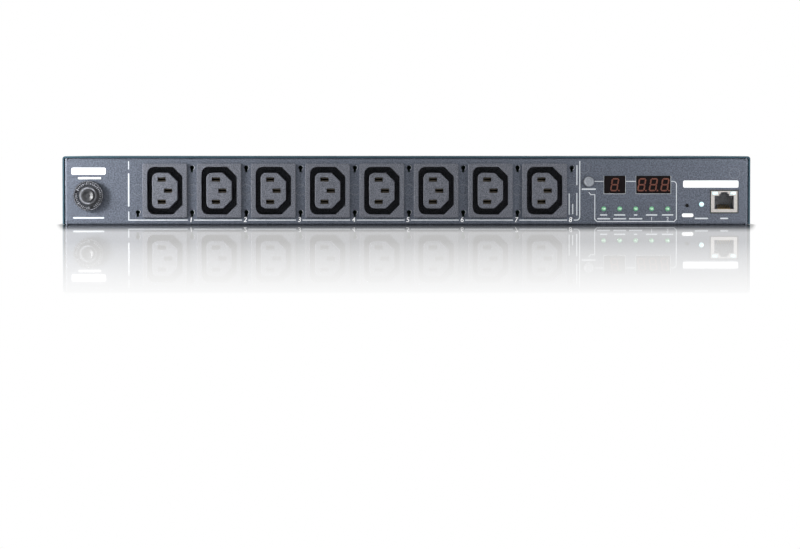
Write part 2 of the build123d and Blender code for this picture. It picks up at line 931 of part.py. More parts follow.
def current_sensors():
    """One current sensor for each outlet, on the rear of the metering board."""
    return group(
        block(
            about(x + sensor_chip_offset, sensor_chip_width),
            (metering_back, metering_back + sensor_chip_depth),
            about(sensor_chip_z, sensor_chip_height),
        )
        for x in outlets
    )


def earth_bus():
    """The strip that lies on the earth tabs behind the metering board."""
    low = outlet_z + tab_thickness / 2
    return block(
        (outlets[0] - earth_bus_overhang, outlets[-1] + earth_bus_overhang),
        (tab_end - earth_bus_width, tab_end),
        (low, low + earth_bus_thickness),
    )


def corner_places(left, right, low, high):
    """The four corner holes of a level board, from its limits."""
    return [
        (x, y)
        for x in (left + standoff_inset, right - standoff_inset)
        for y in (low + standoff_inset, high - standoff_inset)
    ]


supply_corners = corner_places(supply_left, supply_right, supply_front, supply_back)
main_corners = corner_places(
    main_board_left,
    main_board_right,
    main_board_front + jack_depth,
    main_board_back - sensor_depth,
)


def on_board(x, y, width, depth, height):
    """A block that stands on a level board."""
    return block(about(x, width), about(y, depth), (board_top, board_top + height))


def level_board(x, y, holes):
    """A level board on its standoffs, with its screw holes."""
    hole = screw_radius + screw_play
    drill = [post(u, v, hole, board_height, board_thickness, hidden_sides) for u, v in holes]
    return block(x, y, (board_height, board_top)) - drill


ribbon_y = supply_y - supply_depth / 4
supply_header_x = supply_right - header_width / 2 - header_inset
main_header_x = main_board_left + header_width / 2 + header_inset


def main_board():
    """The controller board, with the tongue under the network jack and its larger chips."""
    board = level_board(
        (main_board_left, main_board_right), (main_board_front, main_board_back), main_corners
    )
    tongue = block(
        (jack_x - jack_width / 2, main_board_right),
        (inside_front + main_board_tongue_gap, main_board_front),
        (board_height, board_top),
    )
    chips = [
        on_board(main_board_x, 0, processor_size, processor_size, processor_height),
        on_board(
            main_board_x + module_offset, -module_offset, module_width, module_depth, module_height
        ),
        on_board(main_header_x, ribbon_y, header_width, header_depth, header_height),
    ]
    return board + [tongue] + chips


def supply_board():
    """The power supply board with its mains terminal block and its output header."""
    board = level_board(
        (supply_left, supply_right), (supply_front, supply_back), supply_corners
    )
    return board + [
        on_board(
            supply_left + terminal_inset_x,
            supply_front + terminal_inset_y,
            terminal_width,
            terminal_depth,
            terminal_height,
        ),
        on_board(supply_header_x, ribbon_y, header_width, header_depth, header_height),
    ]


def transformer():
    """The laminated core with the wound coil through its windows."""
    x = supply_left + transformer_inset
    core = on_board(x, supply_y, transformer_width, transformer_depth, transformer_height)
    rise = (transformer_height - coil_height) / 2
    coil = Pos(0, 0, rise) * on_board(x, supply_y, coil_width, coil_depth, coil_height)
    return core + chamfer(coil.edges().filter_by(Axis.Z), coil_edge)


def supply_capacitors():
    """The two reservoir capacitors."""
    x = supply_right - capacitor_inset
    can = post(0, 0, capacitor_radius, board_top, capacitor_height, small_sides)
    can = chamfer(can.edges().group_by(Axis.Z)[-1], capacitor_edge)
    return group(
        Pos(x, supply_y + side * capacitor_pitch / 2, 0) * can for side in (-1, 1)
    )


pillar_grip = board_height - tray_sheet - screw_spare


def standoffs():
    """The hexagonal tapped pillars that carry the level boards."""
    height = board_height - tray_sheet
    pillar = post(0, 0, standoff_radius, tray_sheet, height, hidden_sides)
    pillar -= post(0, 0, screw_radius + thread_play, tray_sheet, height, hidden_sides)
    return group(Pos(x, y, 0) * pillar for x, y in supply_corners + main_corners)


def board_screws():
    """The hexagon-head screws of all four boards."""
    down = hex_screw(board_thickness + pillar_grip)
    screws = [Pos(x, y, board_top) * down for x, y in supply_corners + main_corners]
    level = Rot(-90, 0, 0) * hex_screw(board_thickness + stud_grip)
    screws += [Pos(x, display_board_back, z) * level for x, z in display_studs]
    screws += [Pos(x, metering_back, z) * level for x, z in outlet_studs]
    return group(screws)


def insulating_sheet():
    """The insulating sheet on the floor under the power supply."""
    sheet = block(
        about(supply_x, supply_width + 2 * sheet_margin),
        about(supply_y, supply_depth + 2 * sheet_margin),
        (tray_sheet, tray_sheet + sheet_thickness),
    )
    return sheet - [
        post(x, y, standoff_radius + sheet_hole_play, tray_sheet, sheet_thickness, hidden_sides)
        for x, y in supply_corners
    ]


def jack_mouth(width, height, floor, steps):
    """A modular jack's mouth with its latch steps, in (x, z) over the jack's underside."""
    mouth = Pos(0, floor + height / 2) * Rectangle(width, height)
    top = floor + height
    for step_width, step_height in steps:
        mouth += Pos(0, top + step_height / 2) * Rectangle(step_width, step_height)
        top += step_height
    return mouth


def spring_wires(count, floor):
    """The slanting spring contacts of a modular jack, rising from its floor."""
    size = jack_contact_size
    side = [
        (size, floor),
        (3 * size, floor),
        (jack_contact_reach, floor + jack_contact_rise),
        (jack_contact_reach, floor + jack_contact_rise + size),
        (2 * size, floor + size),
    ]
    face = make_face(Polyline(*side, close=True))
    places = [(i - (count - 1) / 2) * jack_contact_pitch - size / 2 for i in range(count)]
    return [extrude(Plane.YZ.offset(x) * face, size, dir=(1, 0, 0)) for x in places]


lan_mouth = jack_mouth(
    jack_mouth_width,
    jack_mouth_height,
    jack_mouth_floor,
    ((jack_step_width, jack_step_height), (jack_notch_width, jack_notch_height)),
)
lan_lamp_places = [
    Pos(side * (jack_width / 2 - jack_lamp_inset), jack_height - jack_lamp_drop)
    for side in (-1, 1)
]
lan_windows = [place * Rectangle(jack_lamp_width, jack_lamp_height) for place in lan_lamp_places]
lan_place = Pos(jack_x, front + jack_setback, board_top)


def lan_shield():
    """The folded metal shield, open below, with the mouth and the two lamp windows."""
    shield = block(about(0, jack_width), (0, jack_depth), (0, jack_height))
    room = block(
        about(0, jack_width - 2 * jack_wall),
        (jack_wall, jack_depth - jack_wall),
        (-jack_wall, jack_height - jack_wall),
    )
    holes = [to_rear(hole, 0, jack_wall) for hole in [lan_mouth] + lan_windows]
    return lan_place * (shield - [room] - holes)


def lan_insert():
    """The moulded insert inside the shield, with the plug's cavity and the lamps' pockets."""
    inner = jack_wall + jack_play
    insert = block(
        about(0, jack_width - 2 * inner), (inner, jack_depth - inner), (0, jack_height - inner)
    )
    holes = [to_rear(lan_mouth, 0, jack_mouth_depth)]
    holes += [to_rear(hole, 0, jack_lamp_depth) for hole in lan_windows]
    return lan_place * (insert - holes)


def lan_lamps():
    """The link and activity lamps in the top corners of the network jack."""
    lens = Rectangle(jack_lamp_width - 2 * jack_play, jack_lamp_height - 2 * jack_play)
    return group(
        lan_place * to_rear(place * lens, jack_play, jack_lamp_depth - jack_play)
        for place in lan_lamp_places
    )


def lan_contacts():
    """The eight spring contacts of the network jack."""
    inward = lan_place * Pos(0, jack_wall, 0)
    return group(inward * wire for wire in spring_wires(jack_contact_count, jack_mouth_floor))


def sensor_place(x):
    """The place of a sensor jack, with its mouth to the rear."""
    return Location((x, sensor_face, board_top), (0, 0, 180))


def sensor_jack(x):
    """One sensor jack, facing the rear."""
    body = block(about(0, sensor_width), (0, sensor_depth), (0, sensor_height))
    mouth = jack_mouth(
        sensor_mouth_width,
        sensor_mouth_height,
        sensor_mouth_floor,
        ((sensor_step_width, sensor_step_height),),
    )
    return sensor_place(x) * (body - to_rear(mouth, 0, sensor_mouth_depth))


def sensor_contacts():
    """The spring contacts of both sensor jacks."""
    wires = spring_wires(sensor_contact_count, sensor_mouth_floor)
    return group(sensor_place(x) * wire for x in sensors for wire in wires)


def inlet_housing():
    """The flanged mains inlet, screwed to the outside of the rear wall, its earth pin uppermost."""
    flange = soft_rectangle(inlet_flange_width, inlet_flange_height, inlet_flange_radius)
    for side in (-1, 1):
        hole = disc(screw_radius + screw_play, hole_sides)
        flange -= Pos(side * inlet_screw_pitch / 2, 0) * hole
    housing = to_rear(flange, back, inlet_flange_thickness)
    housing += to_rear(
        Rectangle(inlet_body_width, inlet_body_height), inlet_rear, inlet_body_depth
    )
    mouth = Rot(0, 0, 90) * outline(
        inlet_mouth_height, inlet_mouth_width, inlet_mouth_chamfer, inlet_mouth_radius
    )
    cuts = [to_rear(mouth, inlet_face - inlet_mouth_depth, inlet_mouth_depth)]
    for x, z in pin_places:
        hole = window(z, x, inlet_pin_thickness, inlet_pin_width, thread_play)
        cuts.append(to_rear(hole, inlet_rear, inlet_body_depth))
    return Pos(inlet_x, 0, inlet_z) * (housing - cuts)


def inlet_pins():
    """The three pins of the mains inlet, each with its tab behind the housing."""
    tip = inlet_face - inlet_mouth_depth + inlet_pin_length
    pins = []
    for x, z in pin_places:
        pin = block(about(z, inlet_pin_thickness), (inlet_rear, tip), about(x, inlet_pin_width))
        pin = chamfer(pin.faces().sort_by(Axis.Y)[-1].edges(), inlet_pin_edge)
        tab = block(
            about(z, tab_thickness), (inlet_rear - tab_length, inlet_rear), about(x, tab_width)
        )
        pins.append(Pos(inlet_x, 0, inlet_z) * (pin + tab))
    return group(pins)


def inlet_screws():
    """The two pan-head screws of the mains inlet."""
    length = inlet_flange_thickness + tray_sheet + nut_height + screw_spare
    screw = Rot(-90, 0, 0) * pan_screw(screw_radius, pan_head_radius, pan_head_height, length)
    return group(
        Pos(inlet_x + side * inlet_screw_pitch / 2, inlet_face, inlet_z) * screw
        for side in (-1, 1)
    )


def rear_nuts():
    """The nuts behind the rear wall: two for the inlet and one for the earth terminal."""
    nuts = []
    for x, z, bore, radius in (
        (inlet_x - inlet_screw_pitch / 2, inlet_z, screw_radius, nut_radius),
        (inlet_x + inlet_screw_pitch / 2, inlet_z, screw_radius, nut_radius),
        (ground_x, ground_z, ground_screw_radius, ground_nut_radius),
    ):
        shape = disc(radius, hidden_sides) - disc(bore + thread_play, hidden_sides)
        nuts.append(to_rear(Pos(x, z) * shape, inside_back - nut_height, nut_height))
    return group(nuts)


def ground_screw():
    """The earth terminal's screw with its captive washer, outside the rear wall."""
    screw = pan_screw(
        ground_screw_radius, ground_head_radius, ground_head_height, ground_screw_length
    )
    thickness = ground_washer_thickness
    screw += post(0, 0, ground_washer_radius, -thickness, thickness, small_sides)
    y = back + ground_washer_thickness
    return Pos(ground_x, y, ground_z) * Rot(-90, 0, 0) * screw


def lead(points, bend):
    """An insulated lead, hexagonal in section, along straight runs joined by chords of arcs."""
    curve = FilletPolyline(*points, radius=bend)
    corners = [curve.edges()[0] @ 0]
    for edge in curve.edges():
        steps = 1 if edge.geom_type == GeomType.LINE else lead_chords
        corners += [edge @ (i / steps) for i in range(1, steps + 1)]
    path = Polyline(*corners)
    section = Plane(origin=path @ 0, z_dir=path % 0) * disc(lead_radius, hidden_sides)
    return sweep(section, path=path, transition=Transition.RIGHT)


def socket(x, z, upright, y, towards_rear):
    """A push-on socket over the end of a spade tab whose tip is at y."""
    reach = tab_length - tab_play
    tail = socket_length - reach
    start = y - reach if towards_rear else y - tail
    width, height = (socket_height, socket_width) if upright else (socket_width, socket_height)
    thick, wide = (tab_thickness, tab_width) if not upright else (tab_width, tab_thickness)
    shell = to_rear(window(x, z, width, height), start, socket_length)
    room_start = start if towards_rear else y
    room = to_rear(window(x, z, wide, thick, tab_play), room_start, reach)
    return shell - room


def lug(direction, y):
    """A ring lug on the earth terminal's screw, its tongue up or down."""
    plate = disc(lug_radius, hole_sides)
    plate += window(0, direction * lug_length / 2, lug_width, lug_length)
    plate -= disc(ground_screw_radius + screw_play, hole_sides)
    return Pos(ground_x, 0, ground_z) * to_rear(plate, y, lug_thickness)


def mains_leads():
    """The leads between the inlet, the breaker, the metering board and the earth terminal."""
    inlet_tip = inlet_rear - tab_length
    inlet_tail = inlet_tip - (socket_length - tab_length + tab_play)
    breaker_tip = breaker_back + tab_length
    breaker_tail = breaker_tip + (socket_length - tab_length + tab_play)
    low_z = breaker_z - breaker_tab_spacing / 2
    high_z = breaker_z + breaker_tab_spacing / 2
    live_x = inlet_x - pin_pitch / 2
    neutral_x = inlet_x + pin_pitch / 2
    pole_z = inlet_z - pin_offset / 2
    earth_z = inlet_z + pin_offset / 2
    pad_x = outlet_studs[0][0]
    lug_y = inside_back - nut_height - lug_thickness
    up_z = ground_z + lug_length - lug_width / 2
    down_z = ground_z - lug_length + lug_width / 2
    bus_x = outlets[0] - earth_bus_overhang + lead_radius
    live = [
        lead(
            [
                (live_x, inlet_tail, pole_z),
                (live_x, inlet_tail - 36, pole_z),
                (breaker_x, breaker_tail + 40, low_z),
                (breaker_x, breaker_tail, low_z),
            ],
            30,
        ),
        socket(live_x, pole_z, True, inlet_tip, False),
        socket(breaker_x, low_z, False, breaker_tip, True),
    ]
    switched = [
        lead(
            [
                (breaker_x, breaker_tail, high_z),
                (breaker_x, breaker_tail + 20, high_z),
                (pad_x, breaker_tail + 20, high_z + 6),
                (pad_x, metering_back, high_z + 6),
            ],
            13,
        ),
        socket(breaker_x, high_z, False, breaker_tip, True),
    ]
    neutral = [
        lead(
            [
                (neutral_x, inlet_tail, pole_z),
                (neutral_x, inlet_tail - 60, pole_z),
                (pad_x + 4, metering_back + 44, 10),
                (pad_x + 4, metering_back, 10),
            ],
            60,
        ),
        socket(neutral_x, pole_z, True, inlet_tip, False),
    ]
    earth = [
        lead(
            [
                (inlet_x, inlet_tail, earth_z),
                (inlet_x, inlet_tail - 18, earth_z),
                (ground_x, inlet_tail - 18, up_z),
                (ground_x, lug_y, up_z),
            ],
            14,
        ),
        socket(inlet_x, earth_z, True, inlet_tip, False),
        lug(1, lug_y),
    ]
    bond = [
        lead(
            [
                (bus_x, tab_end, outlet_z + 1.2),
                (bus_x, tab_end + 24, outlet_z + 1.2),
                (ground_x, tab_end + 56, down_z),
                (ground_x, lug_y - lug_thickness, down_z),
            ],
            24,
        ),
        lug(-1, lug_y - lug_thickness),
    ]
    leads = []
    for pieces in (live, switched, neutral, earth, bond):
        whole = pieces[0]
        for piece in pieces[1:]:
            whole += piece
        leads.append(whole)
    return group(leads)


def ribbon_cable():
    """The flat cable from the supply's output header, along the floor, to the main board."""
    start = supply_header_x + header_width / 2
    end = main_header_x - header_width / 2
    high = board_top + ribbon_rise
    low = tray_sheet + ribbon_thickness / 2
    points = [
        (start, ribbon_y, high),
        (start + ribbon_run, ribbon_y, high),
        (start + 2 * ribbon_run, ribbon_y, low),
        (end - 2 * ribbon_run, ribbon_y, low),
        (end - ribbon_run, ribbon_y, high),
        (end, ribbon_y, high),
    ]
    path = FilletPolyline(*points, radius=ribbon_bend)
    section = Plane(origin=path @ 0, x_dir=(0, 1, 0), z_dir=path % 0)
    return sweep(section * Rectangle(ribbon_width, ribbon_thickness), path=path)


def build():
    """Every node by name."""
    nodes = {
        "chassis_base": chassis_base(),
        "top_cover": top_cover(),
        "cover_screws": group(place * flat_screw() for place in side_screws + rear_screws),
        "ear_nuts": ear_nuts(),
        "panel_studs": panel_studs(),
        "breaker_body": breaker_body(),
        "breaker_nut": breaker_nut(),
        "breaker_washer": breaker_washer(),
        "breaker_terminals": breaker_terminals(),
        "breaker_button": breaker_button(),
        "select_button": select_button(),
        "select_plunger": switch_plunger(select_x, select_z),
        "reset_plunger": switch_plunger(reset_x, reset_z),
        "button_switches": button_switches(),
        "display_small": display_housing(single_x, single_width, 1),
        "display_large": display_housing(triple_x, triple_width, 3),
        "display_segments": group(digit_prisms(single_x, 1, 0) + digit_prisms(triple_x, 3, 0)),
        "status_lamps": group(lamp(x, lamp_z) for x in lamps),
        "power_lamp": lamp(power_lamp_x, power_lamp_z),
        "display_board": display_board(),
        "metering_board": metering_board(),
        "current_sensors": current_sensors(),
        "earth_bus": earth_bus(),
        "main_board": main_board(),
        "supply_board": supply_board(),
        "transformer": transformer(),
        "supply_capacitors": supply_capacitors(),
        "standoffs": standoffs(),
        "board_screws": board_screws(),
        "insulating_sheet": insulating_sheet(),
        "mains_leads": mains_leads(),
        "ribbon_cable": ribbon_cable(),
        "lan_shield": lan_shield(),
        "lan_insert": lan_insert(),
        "lan_lamps": lan_lamps(),
        "lan_contacts": lan_contacts(),
        "sensor_contacts": sensor_contacts(),
        "inlet_housing": inlet_housing(),
        "inlet_pins": inlet_pins(),
        "inlet_screws": inlet_screws(),
        "rear_nuts": rear_nuts(),
        "ground_screw": ground_screw(),
    }
    housing = outlet_housing()
    contacts = outlet_contacts()
    for number, x in enumerate(outlets, 1):
        nodes[f"outlet_{number}"] = Pos(x, 0, 0) * housing
        nodes[f"outlet_contacts_{number}"] = group(Pos(x, 0, 0) * piece for piece in contacts)
    for number, x in enumerate(sensors, 1):
        nodes[f"sensor_jack_{number}"] = sensor_jack(x)
    return nodes


os.makedirs("parts", exist_ok=True)
for name, shape in build().items():
    export_step(shape, f"parts/{name}.step")
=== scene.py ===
import bpy
import json
from math import cos, pi, radians, sin
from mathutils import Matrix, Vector


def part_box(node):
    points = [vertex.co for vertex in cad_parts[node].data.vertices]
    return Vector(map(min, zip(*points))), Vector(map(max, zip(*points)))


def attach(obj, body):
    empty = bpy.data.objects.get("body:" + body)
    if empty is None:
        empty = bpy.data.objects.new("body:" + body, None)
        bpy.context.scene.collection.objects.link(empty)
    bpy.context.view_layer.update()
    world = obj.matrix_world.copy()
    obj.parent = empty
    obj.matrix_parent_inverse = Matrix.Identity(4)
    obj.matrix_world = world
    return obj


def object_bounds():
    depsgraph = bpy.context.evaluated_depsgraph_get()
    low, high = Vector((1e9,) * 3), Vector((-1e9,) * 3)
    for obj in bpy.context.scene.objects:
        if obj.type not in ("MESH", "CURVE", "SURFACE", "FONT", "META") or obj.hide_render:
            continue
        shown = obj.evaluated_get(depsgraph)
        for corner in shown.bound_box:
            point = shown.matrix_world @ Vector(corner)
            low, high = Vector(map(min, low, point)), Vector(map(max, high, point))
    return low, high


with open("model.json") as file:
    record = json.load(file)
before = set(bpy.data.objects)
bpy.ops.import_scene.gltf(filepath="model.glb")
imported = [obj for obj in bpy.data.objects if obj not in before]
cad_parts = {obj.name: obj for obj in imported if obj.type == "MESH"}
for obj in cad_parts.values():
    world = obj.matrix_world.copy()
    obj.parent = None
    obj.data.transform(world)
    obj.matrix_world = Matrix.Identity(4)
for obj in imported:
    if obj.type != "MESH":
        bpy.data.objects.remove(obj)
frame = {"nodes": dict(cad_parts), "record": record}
nodes = frame["nodes"]
cad_low, cad_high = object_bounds()

# Everything is in metres here. Sizes of print and trim are written in millimetres and turned by
# MM. Lights, floor and camera distance are written in metres.
MM = 0.001
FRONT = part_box("chassis_base")[0].y
X, Y, Z = Vector((1, 0, 0)), Vector((0, 1, 0)), Vector((0, 0, 1))
OUTLETS = 8
LAMPS = 5

# How far print, and the painted highlights and painted shade laid flat like print, stand off the
# front panel, and the small gap left behind it
INK = 0.04
FIELD_INK = 0.06
WINDOW_HIGHLIGHT_LIFT = 0.03
FAINT_LIFT = 0.02
PRINT_BACK = 0.004

# How far trim that lies on a piece goes into it
SUNK = 0.1

# Finishes: name, colour, roughness and what differs from the usual grain
FINISHES = (
    ("panel_paint", (0.083, 0.094, 0.119), 0.42, dict(grain=0.34, scale=1300, bump=0.5, spec=0.15)),
    (
        "cover_paint", (0.026, 0.056, 0.076), 0.55,
        dict(grain=0.12, scale=1500, bump=0.35, spec=0.18),
    ),
    ("nut_paint", (0.013, 0.015, 0.020), 0.25, dict(grain=0.30, scale=700, bump=0.3)),
    # Light grey laid on the ring nut's marks and on the breaker's rims: painted highlight, and on
    # the bushing also its grey metal
    ("light_grey_and_highlight", (0.150, 0.155, 0.175), 0.30, dict(grain=0.30, scale=900)),
    (
        "outlet_plastic", (0.104, 0.110, 0.130), 0.50,
        dict(grain=0.48, scale=1700, bump=0.5, spec=0.15),
    ),
    ("black_plastic", (0.014, 0.015, 0.018), 0.45, dict(grain=0.2, scale=1200)),
    ("steel", (0.52, 0.53, 0.55), 0.32, dict(grain=0.06, scale=900, metal=1.0)),
    ("dark_steel", (0.07, 0.07, 0.075), 0.35, dict(grain=0.1, scale=900, metal=0.6)),
    ("jack_metal", (0.57, 0.55, 0.53), 0.26, dict(grain=0.05, scale=600, metal=1.0)),
    ("jack_insert", (0.25, 0.26, 0.285), 0.40, dict(grain=0.25, scale=1100, spec=0.3)),
    # Brass darkened as painted shade for the contacts deep in the outlet slots; the inlet pins
    # share it
    ("brass", (0.10, 0.085, 0.06), 0.5, dict(grain=0.06, scale=900, metal=0.6)),
    ("gold", (0.55, 0.40, 0.16), 0.35, dict(grain=0.04, scale=900, metal=1.0)),
    ("copper", (0.65, 0.30, 0.16), 0.35, dict(grain=0.08, scale=900, metal=1.0)),
    ("core_steel", (0.10, 0.10, 0.105), 0.5, dict(grain=0.2, scale=700, stretch=(1, 1, 6))),
    ("can_metal", (0.12, 0.15, 0.28), 0.35, dict(grain=0.08, scale=500)),
    ("black_sheet", (0.03, 0.03, 0.03), 0.6, dict(grain=0.1)),
    ("button_plastic", (0.205, 0.222, 0.25), 0.45, dict(grain=0.08, scale=1500)),
    (
        "display_plastic", (0.0065, 0.0048, 0.0052), 0.25,
        dict(grain=0.15, scale=700, spec=0.05),
    ),
    ("segment_plastic", (0.125, 0.046, 0.032), 0.35, dict(grain=0.15, scale=1500, spec=0.2)),
    ("green_lamp", (0.12, 0.36, 0.19), 0.10, dict(grain=0.10, scale=1500, coat=0.8)),
    ("lamp_die", (0.62, 0.85, 0.68), 0.3, dict(grain=0.04, scale=1500)),
    (
        "clear_lamp", (0.55, 0.78, 0.80), 0.2,
        dict(grain=0.05, coat=0.6, emit=(0.55, 0.95, 1.0), glow=0.35),
    ),
    ("board_laminate", (0.015, 0.11, 0.05), 0.4, dict(grain=0.25, scale=500)),
    ("lead_cover", (0.05, 0.05, 0.055), 0.45, dict(grain=0.1)),
    ("ribbon_cover", (0.40, 0.40, 0.42), 0.5, dict(grain=0.12, scale=900, stretch=(0.02, 1, 1))),
    # Light grey print ink, also used for the painted highlights at the display windows and the
    # keyholes
    ("print_ink_and_highlight", (0.50, 0.53, 0.56), 0.55, dict(grain=0.08, scale=1800)),
    ("white_ink", (0.80, 0.81, 0.82), 0.55, dict(grain=0.04, scale=1800)),
    ("faint_mark", (0.145, 0.158, 0.185), 0.38, dict(grain=0.10, scale=1500)),
    ("recess_shade", (0.012, 0.012, 0.013), 0.6, dict(grain=0.1)),
)
# Nodes whose finish differs from that of their slot
OWN_FINISH = {"lan_insert": "jack_insert"}
GRAIN_DETAIL = 3.0
GRAIN_DEPTH = 0.02
MOTTLE_START, MOTTLE_END = 0.35, 0.65

# Frame round the outlets: its edges, the gap for the mark at its left, and the room that its
# foot leaves on both sides of each number
ZONE_LINE = 0.62
ZONE_LEFT, ZONE_RIGHT, ZONE_LOW, ZONE_TOP = -174.6, 109.0, 2.85, 40.0
ZONE_GAP_LOW, ZONE_GAP_TOP = 8.25, 34.75
NUMBER_SHIFT = -0.8
NUMBER_ROOM = 2.0
FRAME_CORNER = 2.0

# Frame round the controls: its top line, its right edge, the room at the button and the windows,
# and the points down its right side, along its foot and up to the last outlet
CONTROL_LINE = 0.5
CONTROL_TOP, CONTROL_RIGHT = 27.2, 169.8
BUTTON_ROOM, WINDOW_ROOM = 3.6, 0.5
CONTROL_FOOT = [
    (169.8, 3.4), (168.4, 1.95), (119.9, 1.95), (118.5, 3.4), (118.5, 18.85),
    (116.0, 18.85), (114.7, 20.35),
]

# Bars that stand where words are left off, as (height of middle, width, height)
BUTTON_BAR = (22.3, 9.0, 0.9)
POWER_BAR = (3.9, 8.4, 0.9)
JACK_BAR = (3.9, 5.0, 0.9)
BREAKER_BAR = (4.25, 19.6, 1.0)
BAR_ROUND = 0.45  # corner radius over the bar's height
# Rows of bars under the lamps, as (height of middle, height, widths)
LAMP_BARS = ((6.1, 0.8, (4.6, 7.2, 2.2, 7.2, 7.2)), (3.7, 0.8, (8.2, 8.2, 8.4)))
# Upright bars and fields, as (x, z, width, height, corner radius)
UPRIGHT_BARS = (
    (ZONE_LEFT, 21.8, 0.9, 21.0, 0.4),
    (102.4, 12.9, 0.7, 13.4, 0.3),
    (104.6, 9.8, 0.7, 6.6, 0.3),
    (107.2, 12.8, 0.7, 14.2, 0.3),
    (107.2, 31.1, 0.7, 12.6, 0.3),
)
END_FIELD = ((-199.8, 33.6, 21.5, 4.4, 0.9), (-199.2, 29.2, 14.5, 1.2, 0.55))
NAME_FIELD = ((191.4, 25.5, 34.8, 4.5, 0.9),)
RESET_FIELD = ((176.9, 5.9, 7.3, 2.4, 1.15),)
SMALL_STEPS = 3  # chords in a small bar's corner

# Numbers: a digit's height over its font's size, and how thick and bold it is
DIGIT_SHARE = 0.7
DIGIT_THICK = 0.02
DIGIT_BOLD = 0.03

# Painted highlights along the cut edges of the display windows
WINDOW_GAP, WINDOW_LINE = 0.28, 0.22

# Marks round the ring nut's face: radius, step, two runs as (first degree, count), how far they
# stand over the face's lowest point, and sizes that vary from mark to mark
MARK_RADIUS, MARK_STEP = 7.65, 9.2
MARK_RUNS = ((-60, 24), (172, 12))
MARK_NEAR, MARK_FAR = 0.1, 0.42
MARK_LONG, MARK_LONG_MORE = 0.42, 0.16
MARK_WIDE, MARK_WIDE_MORE = 0.24, 0.08
# Light rims of the bushing and of the nut, grey metal with a painted highlight, as radius and width
BUSHING_RIM = (4.85, 0.9)
NUT_RIM = (9.0, 0.22)
RIM_LIFT = 0.02

# Rings over the welded studs: radius and width, the height of the row, two single studs, and the
# two arcs that the outlets leave of each ring in the row
STUD_RING = (3.3, 0.2)
STUD_ROW = 21.9
LONE_STUDS = ((206.4, 32.2), (111.7, 35.6))
STUD_ARCS = ((32, 148), (212, 328))
QUARTERS = tuple((90 * k, 90 * k + 90) for k in range(4))

# Painted highlights round the keyholes: radius and width, the arc they cover, and the heights of
# the holes
KEYHOLE_RIM = (1.62, 0.16)
KEYHOLE_ARC = (-60, 60)
KEYHOLE_STEPS = 8
KEYHOLE_LOW, KEYHOLE_TOP = 7.8, 35.8

# Lamps: radius of the flange, the dome and how far behind the lamp's front its base is, and the
# two dies inside, as pointed leaves
LAMP_FLANGE = 1.9
DOME_RADIUS, DOME_HEIGHT, DOME_SINK = 1.54, 0.95, 0.45
DIE_OUT, DIE_IN, DIE_HALF = 0.85, 0.12, 0.42
DIE_LIFT = 0.53

# Driver recesses, as painted shade in flat dark crosses: arm length and width, how far they lie off
# the head, and the screws' places
RECESS_SIZE, RECESS_WIDTH = 2.8, 0.7
EARTH_RECESS = (3.6, 0.9)
RECESS_LIFT = 0.03
SIDE_SCREW_Y, SIDE_SCREW_Z = 62.0, 6.6
REAR_SCREW_X, REAR_SCREW_Z = 100.0, 38.6
INLET_SCREW_X = 20.0

# Network jack: the painted shade in the gap at the edge of its cutout, and the spring tabs beside
# its mouth
CUTOUT_GAP, CUTOUT_LINE = 0.55, 0.4
SPRING_X, SPRING_DROP = 6.75, 0.2
SPRING_WIDTH, SPRING_HEIGHT, SPRING_ROUND = 0.8, 3.2, 0.3
SPRING_LIFT = 0.12

# Floor, in metres: its corners, its plain grey, and the mirror that fades between two distances
FLOOR_CORNERS = ((-9, -6, 0), (9, -6, 0), (9, 12, 0), (-9, 12, 0))
FLOOR_GREY = 0.22
MIRROR_FAR, MIRROR_NEAR, MIRROR_MOST, MIRROR_ROUGH = 1.03, 0.38, 0.48, 0.015
# Shade round the part: its reach, how it draws in ahead of the part, how much faster it ends at
# the sides and behind than ahead, and its grey against distance
SHADE_REACH = 0.2
SHADE_TAPER = 0.115
SHADE_EDGE = 45.0
SHADE_REAR = 6.0
SHADE_STOPS = ((0.22, 0.05), (0.36, 0.14), (0.49, 0.29), (0.62, 0.56), (0.74, 0.74), (0.90, 0.93))

# The world's strength for light and for what is seen
WORLD_LIGHT, WORLD_SEEN = 0.25, 1.0

# Lights, in metres: name, place, target, size and watts
LIGHTS = (
    ("key", (-0.70, -0.75, 0.45), (-0.15, FRONT, 0.02), 0.35, 1.75),
    ("left_near", (-0.42, FRONT - 0.13, 0.085), (-0.216, FRONT, 0.02), 0.08, 2.15),
    ("right_near", (0.40, FRONT - 0.20, 0.12), (0.216, FRONT, 0.02), 0.10, 1.02),
    ("fill", (1.0, -1.1, 0.5), (0.15, FRONT, 0.02), 0.6, 1.0),
    ("above", (0, 0.1, 1.4), (0, 0, 0), 1.0, 5),
    ("behind", (0.5, 1.4, 0.7), (0, 0.1, 0.02), 0.8, 8),
)

# Camera: distance in metres, the picture's scale and width, the sensor, and in millimetres how
# far it stands aside, how high it is and how high it aims
DISTANCE = 2.0
PIXELS_PER_MM = 1.590
PICTURE_WIDTH = 800
SENSOR = 36
CAMERA_X, CAMERA_Z, AIM_Z = -4.0, 46, -31.4


def middle(node):
    """The middle of a CAD node's box, in metres."""
    low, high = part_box(node)
    return (low + high) / 2


def centre(node):
    """The middle of a CAD node's box seen from the front, in millimetres."""
    place = middle(node)
    return place.x / MM, place.z / MM


def edges(node):
    """The left, right, lowest and highest edges of a CAD node's box, in millimetres."""
    low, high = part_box(node)
    return low.x / MM, high.x / MM, low.z / MM, high.z / MM


def shader(name, color, rough, metal=0.0, spec=0.5, coat=0.0, emit=None, glow=0.0):
    """A plain Principled material, its nodes and its shader."""
    material = bpy.data.materials.new(name)
    material.use_nodes = True
    tree = material.node_tree
    bsdf = tree.nodes["Principled BSDF"]
    bsdf.inputs["Base Color"].default_value = (*color, 1)
    bsdf.inputs["Roughness"].default_value = rough
    bsdf.inputs["Metallic"].default_value = metal
    bsdf.inputs["Specular IOR Level"].default_value = spec
    bsdf.inputs["Coat Weight"].default_value = coat
    if emit:
        bsdf.inputs["Emission Color"].default_value = (*emit, 1)
        bsdf.inputs["Emission Strength"].default_value = glow
    return material, tree, bsdf


